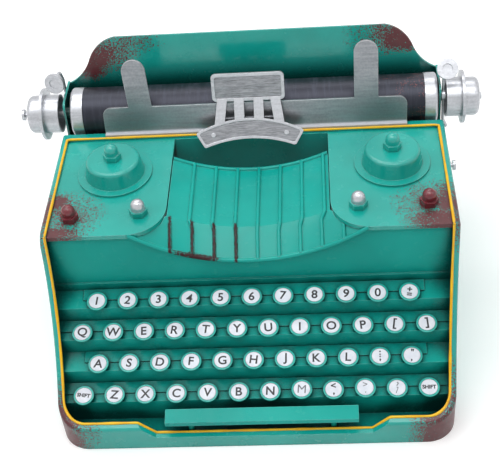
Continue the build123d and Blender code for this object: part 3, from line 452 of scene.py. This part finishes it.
NUT_PARTING = 75.0  # millimetres from the middle, between the inner and the outer nuts
SCREW_SIDE = 100.0  # only the side screw lies farther out
NUT_TOP = DECK_TOP + NUT_HEIGHT + 0.1  # just over the hexagons
NUT_RED_SCALE = 500.0
NUT_GRAIN = 700.0
NUT_METAL = 0.5
NUT_COAT = 0.3
ROLLER_STREAKS = (500.0, 60.0, 60.0)
ROLLER_RUB_SPAN = (0.45, 0.8)
ROLLER_ROUGHNESS = (0.38, 0.5)
RUST_FROM = 62.0
RUST_TO = 92.0
RUST_SHARE = 0.22
RUST_SCALE = 110.0
RUST_SPAN = (0.42, 0.68)
RUST_GRAIN = 0.45
PATCH_ROUGHNESS = 0.15
LUMPS_TO_PATCH = 5


def nut_paint(name):
    """Cap nuts: maroon beside the rim, silver domes on teal, teal on the covers, and a steel screw."""
    material, tree, shader, place = start_material(name)
    side = math_node(tree, "ABSOLUTE", axis_of(tree, place, "X"))
    in_front = math_node(tree, "LESS_THAN", axis_of(tree, place, "Y"), 0.0)
    outer = math_node(tree, "GREATER_THAN", side, NUT_PARTING * MM)
    maroon = math_node(tree, "MULTIPLY", in_front, outer)
    domed = math_node(tree, "GREATER_THAN", axis_of(tree, place, "Z"), NUT_TOP * MM)
    inner = math_node(tree, "MULTIPLY", in_front, math_node(tree, "SUBTRACT", 1.0, outer))
    screw = math_node(tree, "GREATER_THAN", side, SCREW_SIDE * MM)
    silver = math_node(tree, "MAXIMUM", math_node(tree, "MULTIPLY", inner, domed), screw)
    base, rough = enamel(tree, place)
    red = mix(tree, noise(tree, place, NUT_RED_SCALE), MAROON_DARK, NUT_RED)
    bare = silver_look(tree, place, SILVER_LIGHT, SILVER)[0]
    base = mix(tree, silver, mix(tree, maroon, base, red), bare)
    tree.links.new(base, shader.inputs["Base Color"])
    tree.links.new(spread(tree, silver, 0, 1, 0.0, NUT_METAL), shader.inputs["Metallic"])
    tree.links.new(rough, shader.inputs["Roughness"])
    shader.inputs["Coat Weight"].default_value = NUT_COAT
    shader.inputs["Coat Roughness"].default_value = COAT_ROUGHNESS
    bump(tree, shader, noise(tree, place, NUT_GRAIN, detail=2.0), depth=0.15, strength=0.35)
    return material


def platen_black(name):
    """Black roller with rubbed streaks, and specks of rust near its right end."""
    material, tree, shader, place = start_material(name)
    rubbed = strokes(tree, place, ROLLER_STREAKS, detail=4.0, roughness=0.65)
    rub = spread(tree, rubbed, *ROLLER_RUB_SPAN)
    end = spread(tree, axis_of(tree, place, "X"), RUST_FROM * MM, RUST_TO * MM, 0.0, RUST_SHARE)
    patch = spread(tree, noise(tree, place, RUST_SCALE), *RUST_SPAN)
    rusty = math_node(tree, "MULTIPLY", end, patch)
    rust = math_node(tree, "LESS_THAN", grain(tree, place, RUST_GRAIN), rusty)
    base = mix(tree, rub, ROLLER_BLACK, ROLLER_RUBBED)
    base = mix(tree, rust, base, RUST)
    tree.links.new(base, shader.inputs["Base Color"])
    tree.links.new(spread(tree, rub, 0, 1, *ROLLER_ROUGHNESS), shader.inputs["Roughness"])
    shader.inputs["Specular Tint"].default_value = ROLLER_SHEEN
    bump(tree, shader, rub, depth=0.05, strength=0.3)
    return material


def plain_paint(name, light, dark, scale, roughness, lumps):
    """Paint or paper of one colour, with light and dark patches of a given scale."""
    material, tree, shader, place = start_material(name)
    patch = spread(tree, noise(tree, place, scale, detail=4.0), *WIDE_SPAN)
    tree.links.new(mix(tree, patch, light, dark), shader.inputs["Base Color"])
    rough = spread(tree, patch, 0, 1, roughness, roughness + PATCH_ROUGHNESS)
    tree.links.new(rough, shader.inputs["Roughness"])
    bump(tree, shader, noise(tree, place, LUMPS_TO_PATCH * scale, detail=2.0), depth=lumps, strength=0.4)
    return material


# Where the maroon is sponged on: the middle and three radii of each dab in millimetres, and its weight
shell_dabs = [
    ((-104, -14, 90), (7, 24, 24), 1.0),
    ((104, -18, 90), (7, 22, 24), 1.0),
    ((-100, -86, 8), (19, 26, 34), 1.2),
    ((-94, -90, 12), (18, 20, 16), 0.6),
    ((98, -88, 6), (24, 24, 26), 1.2),
    ((101, -80, 16), (12, 28, 30), 0.6),
]
deck_dabs = [
    ((-101, -4, 93), (15, 8, 6), 1.2),
    ((-100, -28, 93), (22, 8, 8), 1.2),
    ((-93, -14, 93), (24, 22, 8), 0.45),
    ((100, -26, 93), (28, 10, 8), 1.2),
    ((101, -12, 93), (12, 18, 8), 1.1),
    ((92, -14, 93), (25, 20, 8), 0.45),
]
rest_dabs = [
    ((-88, 85, 119), (13, 12, 13), 1.4),
    ((-80, 86, 123), (22, 14, 13), 0.7),
    ((-68, 87, 128), (24, 14, 9), 0.4),
    ((84, 85, 125), (18, 14, 10), 1.4),
    ((78, 86, 128), (20, 14, 9), 0.7),
    ((72, 87, 126), (24, 14, 14), 0.4),
]
basket_dabs = [((-28, -30.5, 76), (15, 2.6, 12), 1.2)]
maroon_wire_steps = (-4, -3, -2, -1)
basket_reds = (MAROON_BLACK, MAROON_DARK)

looks = {
    "body_shell": teal_paint("enamel_shell", shell_dabs),
    "deck_plate": teal_paint("enamel_deck", deck_dabs),
    "carriage_frame": teal_paint("enamel_rest", rest_dabs, corner=REST_CORNER),
    "type_basket": teal_paint("enamel_basket", basket_dabs, maroon_wire_steps, basket_reds, gloss=0.2),
    "keyboard_steps": teal_paint("enamel_steps", corner=STEP_CORNER, gloss=0.1),
    "space_bar": teal_paint("enamel_bar", gloss=0.15),
    "fasteners": nut_paint("nut_paint"),
    "platen": platen_black("platen_black"),
    "type_guide": guide_paint("guide_silver"),
}
plain_teal = teal_paint("enamel")
plate_silver = silver_paint("plate_silver", SILVER, SILVER_DARK, FLANGE_TOP)
knob_silver = silver_paint("knob_silver", SILVER_LIGHT, SILVER)
looks["paper_plate"] = plate_silver
looks["key_return_combs"] = plate_silver
for name in ("platen_knobs", "left_lever", "right_lever"):
    looks[name] = knob_silver
for name, node in nodes.items():
    node.data.materials.clear()
    node.data.materials.append(looks.get(name, plain_teal))


def new_piece(name, mesh, body):
    """Puts a mesh into the scene as a piece that rides on a body."""
    piece = bpy.data.objects.new(name, mesh)
    bpy.context.scene.collection.objects.link(piece)
    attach(piece, body)


def mesh_of(curve):
    """Mesh of a curve or a text, made through an object that is removed again."""
    holder = bpy.data.objects.new("curve_holder", curve)
    bpy.context.scene.collection.objects.link(holder)
    bpy.context.view_layer.update()
    shown = holder.evaluated_get(bpy.context.evaluated_depsgraph_get())
    mesh = bpy.data.meshes.new_from_object(shown)
    bpy.data.objects.remove(holder)
    return mesh


# Yellow line, painted along the inner edge of the rim

LINE_INSET = 3.3
LINE_RADIUS = 0.68
LINE_LIFT = 0.1
LINE_SETBACK = 0.5  # of its stretch along the back of the deck
SIDE_STEPS = 40
CHEEK_STEPS = 60
CORNER_STEPS = 24
FRONT_STEPS = 100
BACK_STEPS = 120
HAND_WAVER = 0.16  # share by which the hand-painted line swells and thins
WAVER_FAST = 0.31
WAVER_SLOW = 0.083
WAVER_SHIFT = 1.0


def cheek_height(y):
    """Height of the rim beside the keyboard."""
    chord = Vector((RIM_CORNER_Y - FRONT_Y, RIM_HEIGHT - FRONT_RIM_HEIGHT))
    radius = (chord.length**2 / 4 + CHEEK_SAG**2) / (2 * CHEEK_SAG)
    middle = (Vector((FRONT_Y, FRONT_RIM_HEIGHT)) + Vector((RIM_CORNER_Y, RIM_HEIGHT))) / 2
    across = Vector((-chord.y, chord.x)).normalized()
    centre = middle + across * (radius - CHEEK_SAG)
    return centre.y - math.sqrt(radius**2 - (y - centre.x) ** 2)


def rim_height(x, y):
    """Height of the rim's top at a place."""
    if y >= RIM_CORNER_Y:
        return RIM_HEIGHT
    if y >= FRONT_Y + CORNER_RADIUS:
        return cheek_height(y)
    past_dip = max(0.0, abs(x - DIP_MIDDLE) - DIP_HALF)
    dip = FRONT_RIM_HEIGHT - DIP_DEPTH + past_dip * DIP_DEPTH / DIP_RUN
    return min(cheek_height(y), dip)


def rim_path(inset):
    """Right half of the rim seen from above, from its back corner to the middle of its front."""
    taper = Vector((FRONT_HALF - REAR_HALF, FRONT_Y - RIM_CORNER_Y)).normalized()
    out = Vector((-taper.y, taper.x))
    side_start = Vector((REAR_HALF, RIM_CORNER_Y)) - out * inset
    front_y = FRONT_Y + inset
    corner = Vector((side_start.x + taper.x / taper.y * (front_y - side_start.y), front_y))
    radius = CORNER_RADIUS - inset
    turn = math.acos(taper.dot(Vector((-1, 0))))
    setback = radius * math.tan(turn / 2)
    arc_start = corner - taper * setback
    arc_end = corner + Vector((-setback, 0))
    centre = arc_start - out * radius
    points = []
    for n in range(SIDE_STEPS + 1):
        y = RIM_BACK_Y + (RIM_CORNER_Y - RIM_BACK_Y) * n / SIDE_STEPS
        points.append(Vector((REAR_HALF - inset, y)))
    for n in range(CHEEK_STEPS + 1):
        points.append(side_start + (arc_start - side_start) * n / CHEEK_STEPS)
    for n in range(1, CORNER_STEPS):
        spin = Matrix.Rotation(-turn * n / CORNER_STEPS, 2)
        points.append(centre + spin @ (out * radius))
    for n in range(FRONT_STEPS + 1):
        points.append(Vector((arc_end.x * (1 - n / FRONT_STEPS), front_y)))
    return points


right_half = rim_path(LINE_INSET)
left_half = [Vector((-p.x, p.y)) for p in reversed(right_half[:-1])]
line_points = right_half + left_half
back_left = left_half[-1].x
back_right = right_half[0].x
for n in range(1, BACK_STEPS):
    x = back_left + (back_right - back_left) * n / BACK_STEPS
    line_points.append(Vector((x, RIM_BACK_Y + LINE_SETBACK)))

line_curve = bpy.data.curves.new("yellow_line", "CURVE")
line_curve.dimensions = "3D"
line_curve.bevel_depth = LINE_RADIUS * MM
line_curve.bevel_resolution = 3
spline = line_curve.splines.new("POLY")
spline.points.add(len(line_points) - 1)
for n, (point, place) in enumerate(zip(spline.points, line_points)):
    height = rim_height(place.x, place.y) + LINE_LIFT
    point.co = (place.x * MM, place.y * MM, height * MM, 1.0)
    waver = math.sin(n * WAVER_FAST) * math.sin(n * WAVER_SLOW + WAVER_SHIFT)
    point.radius = 1.0 + HAND_WAVER * waver
spline.use_cyclic_u = True
line_mesh = mesh_of(line_curve)
line_mesh.materials.clear()
yellow_paint = plain_paint("yellow_paint", YELLOW, YELLOW_DEEP, scale=140.0, roughness=0.35, lumps=0.1)
line_mesh.materials.append(yellow_paint)
line_mesh.shade_smooth()
new_piece("yellow_line", line_mesh, "body")


# Key labels: a printed white disc on each key, stuck on a little askew by hand

LABEL_GAP = 0.1
LABEL_RADIUS = RECESS_RADIUS - LABEL_GAP
LABEL_SEGMENTS = 40
LEGEND_HEIGHT = 0.31  # over the bottom of the key's recess, just above the label
PRINT_THICKNESS = 0.02
PRINT_LINE_SPACE = 0.62
LETTER_SIZE = 6.4
LETTER_BOLD = 0.13
PAIR_SIZE = 4.6
WORD_SIZE = 2.7
WORD_BOLD = 0.12
SHIFT = "SHIFT"
ASKEW = (-9, 5)  # degrees, the least and the most turn of a label
label_white = plain_paint(
    "label_white", PAPER_WHITE, PAPER_GREY, scale=260.0, roughness=0.5, lumps=0.05
)
ink = plain_paint("label_ink", INK, INK_THIN, scale=500.0, roughness=0.4, lumps=0.02)
faded_ink = plain_paint(
    "faded_ink", FADED_INK, FADED_INK_THIN, scale=500.0, roughness=0.4, lumps=0.02
)


def plain_legends(letters):
    """Keys whose legend is their own letter or figure."""
    return [(letter.lower(), letter) for letter in letters]


legend_rows = [
    [*plain_legends("1234567890"), ("plus", "+\n=")],
    [*plain_legends("QWERTYUIOP"), ("left_bracket", "["), ("right_bracket", "]")],
    [*plain_legends("ASDFGHJKL"), ("colon", ":\n;"), ("quote", "\"\n,")],
    [
        ("shift_left", SHIFT),
        *plain_legends("ZXCVBNM"),
        ("comma", "<\n,"),
        ("period", ">\n."),
        ("question", "?\n/"),
        ("shift_right", SHIFT),
    ],
]
raised_keys = ("m", "period")
faded_keys = ("m", "period", "question")
random.seed(7)

# Section of a label, as radius and height over the bottom of the key's recess that it lies in
label_section = [
    (0.5 * LABEL_RADIUS, 0.30),
    (0.8 * LABEL_RADIUS, 0.295),
    (0.95 * LABEL_RADIUS, 0.27),
    (LABEL_RADIUS, 0.2),
    (LABEL_RADIUS, 0.01),
]


def print_mesh(text, size, bold):
    """Raised print of a legend, about the middle of its label."""
    curve = bpy.data.curves.new("legend", "FONT")
    curve.body = text
    curve.size = size * MM
    curve.align_x = "CENTER"
    curve.space_line = PRINT_LINE_SPACE
    curve.extrude = PRINT_THICKNESS * MM
    curve.offset = bold * MM
    mesh = mesh_of(curve)
    low = Vector((min(v.co.x for v in mesh.vertices), min(v.co.y for v in mesh.vertices), 0))
    high = Vector((max(v.co.x for v in mesh.vertices), max(v.co.y for v in mesh.vertices), 0))
    mesh.transform(Matrix.Translation(-(low + high) / 2))
    return mesh


def legend_mesh(text, faded):
    """Print of a legend in the size that suits it, at its height over the label."""
    if text == SHIFT:
        mesh = print_mesh(text, WORD_SIZE, WORD_BOLD)
    else:
        size = PAIR_SIZE if "\n" in text else LETTER_SIZE
        mesh = print_mesh(text, size, 0.0 if faded else LETTER_BOLD)
    mesh.transform(Matrix.Translation((0, 0, LEGEND_HEIGHT * MM)))
    return mesh


def add_disc(shape):
    """Adds a crowned paper disc to a mesh that is being built."""
    middle = shape.verts.new((0, 0, label_section[0][1] * MM))
    last = None
    for radius, height in label_section:
        ring = []
        for n in range(LABEL_SEGMENTS):
            angle = 2 * math.pi * n / LABEL_SEGMENTS
            place = Vector((radius * math.cos(angle), radius * math.sin(angle), height))
            ring.append(shape.verts.new(place * MM))
        for n, vertex in enumerate(ring):
            after = (n + 1) % LABEL_SEGMENTS
            if last is None:
                shape.faces.new((middle, vertex, ring[after]))
            else:
                shape.faces.new((last[n], vertex, ring[after], last[after]))
        last = ring
    shape.faces.new(list(reversed(last)))


def label_mesh(text, faded):
    """A crowned paper disc with its legend printed on it."""
    shape = bmesh.new()
    add_disc(shape)
    first_print = len(shape.faces)
    legend = legend_mesh(text, faded)
    shape.from_mesh(legend)
    shape.faces.ensure_lookup_table()
    for face in shape.faces[first_print:]:
        face.material_index = 1
    mesh = bpy.data.meshes.new("label")
    shape.to_mesh(mesh)
    shape.free()
    bpy.data.meshes.remove(legend)
    mesh.materials.append(label_white)
    mesh.materials.append(faded_ink if faded else ink)
    return mesh


def key_place(row, x, lift):
    """Where a key's label lies, with its Z up the key's stem."""
    up = Vector((0, -math.sin(TREAD_TILT), math.cos(TREAD_TILT)))
    back = Vector((0, math.cos(TREAD_TILT), math.sin(TREAD_TILT)))
    stem = Vector((x, FIRST_STEM[0] + row * ROW_STEP[0], FIRST_STEM[1] + row * ROW_STEP[1]))
    origin = (stem + up * (KEY_TOP + lift - LABEL_DEPTH)) * MM
    axes = Matrix((Vector((1, 0, 0)), back, up)).transposed()
    return Matrix.Translation(origin) @ axes.to_4x4()


for row, legends in enumerate(legend_rows):
    for n, (key, text) in enumerate(legends):
        x = (n - (len(legends) - 1) / 2) * KEY_PITCH
        lift = RAISED_KEY_LIFT if key in raised_keys else 0.0
        askew = Matrix.Rotation(math.radians(random.uniform(*ASKEW)), 4, "Z")
        mesh = label_mesh(text, key in faded_keys)
        mesh.transform(key_place(row, x, lift) @ askew)
        body = "shift_keys" if key.startswith("shift") else "key_" + key
        new_piece("label_" + key, mesh, body)


# Floor, light and camera, in metres

WORLD_LIGHT = 0.31
WORLD_SEEN = 1.0
FLOOR_HALF = 3.0
FLOOR_GLOW = 0.2  # only for what the camera and mirrors see of the floor
FAR_FLOOR = (0.6, 1.5)  # reach over which the seen floor turns white, past the lamps
LAMP_TARGET = Vector((0, 0, 0.05))


def seen_only(tree, lighting, seen):
    """A strength for what the camera, mirrors and glass see, and another for the light on the object."""
    ray = add_node(tree, "ShaderNodeLightPath").outputs
    direct = math_node(tree, "MAXIMUM", ray["Is Camera Ray"], ray["Is Glossy Ray"])
    direct = math_node(tree, "MAXIMUM", direct, ray["Is Transmission Ray"])
    return spread(tree, direct, 0.0, 1.0, lighting, seen)


floor_mesh = bpy.data.meshes.new("floor")
corners = [(-FLOOR_HALF, -FLOOR_HALF, 0), (FLOOR_HALF, -FLOOR_HALF, 0)]
corners += [(FLOOR_HALF, FLOOR_HALF, 0), (-FLOOR_HALF, FLOOR_HALF, 0)]
floor_mesh.from_pydata(corners, [], [(0, 1, 2, 3)])
floor_white = plain_paint("floor_white", FLOOR_WHITE, FLOOR_GREY, scale=3.0, roughness=0.6, lumps=0.02)
floor_tree = floor_white.node_tree
floor_shader = floor_tree.nodes["Principled BSDF"]
floor_shader.inputs["Emission Color"].default_value = WHITE
floor_place = add_node(floor_tree, "ShaderNodeTexCoord").outputs["Object"]
floor_reach = vector_node(floor_tree, "LENGTH", floor_place)
far_glow = spread(floor_tree, floor_reach, *FAR_FLOOR, FLOOR_GLOW, 1.0)
put(floor_tree, seen_only(floor_tree, 0.0, far_glow), floor_shader.inputs["Emission Strength"])
floor_mesh.materials.append(floor_white)
floor = bpy.data.objects.new("floor", floor_mesh)
bpy.context.scene.collection.objects.link(floor)


def softbox(name, place, size, power):
    """A large rectangular lamp that faces the typewriter."""
    lamp = bpy.data.lights.new(name, "AREA")
    lamp.shape = "RECTANGLE"
    lamp.size, lamp.size_y = size
    lamp.energy = power
    holder = bpy.data.objects.new(name, lamp)
    facing = (LAMP_TARGET - Vector(place)).to_track_quat("-Z", "Y")
    holder.matrix_world = Matrix.Translation(place) @ facing.to_matrix().to_4x4()
    bpy.context.scene.collection.objects.link(holder)


softbox("top_box", place=(-0.10, -0.25, 1.25), size=(1.2, 0.7), power=9.0)
softbox("back_strip", place=(-0.15, 0.63, 1.20), size=(1.3, 0.25), power=4.5)
softbox("left_light", place=(-1.1, -0.2, 1.1), size=(0.9, 0.9), power=2.7)
softbox("right_light", place=(1.1, -0.2, 1.1), size=(0.9, 0.9), power=2.7)

world = bpy.data.worlds.new("studio")
world.use_nodes = True
bpy.context.scene.world = world
sky = world.node_tree.nodes["Background"]
sky.inputs["Color"].default_value = WHITE
put(world.node_tree, seen_only(world.node_tree, WORLD_LIGHT, WORLD_SEEN), sky.inputs["Strength"])

# Camera where the photograph was taken from, found from the rows of keys and the rim.
# Its angles are in radians, and its place, lens and sensor in millimetres.
CAMERA_AZIMUTH = 0.09445
CAMERA_ELEVATION = 0.75
CAMERA_ROLL = -0.09912
CAMERA_PLACE = Vector((38.5813, -422.9967, 457.8174))
LENS = 79.2
SENSOR_WIDTH = 36.0
NEAREST_SEEN = 50.0
back = Vector(
    (
        math.sin(CAMERA_AZIMUTH) * math.cos(CAMERA_ELEVATION),
        -math.cos(CAMERA_AZIMUTH) * math.cos(CAMERA_ELEVATION),
        math.sin(CAMERA_ELEVATION),
    )
)
level = Vector((0, 0, 1)).cross(back).normalized()
upright = back.cross(level)
right = math.cos(CAMERA_ROLL) * level + math.sin(CAMERA_ROLL) * upright
up = -math.sin(CAMERA_ROLL) * level + math.cos(CAMERA_ROLL) * upright
lens = bpy.data.cameras.new("camera")
lens.lens = LENS
lens.sensor_width = SENSOR_WIDTH
lens.sensor_fit = "HORIZONTAL"
lens.clip_start = NEAREST_SEEN * MM
camera = bpy.data.objects.new("camera", lens)
turned = Matrix((right, up, back)).transposed().to_4x4()
camera.matrix_world = Matrix.Translation(CAMERA_PLACE * MM) @ turned
bpy.context.scene.collection.objects.link(camera)
bpy.context.scene.camera = camera

bpy.context.scene.view_settings.view_transform = "Standard"
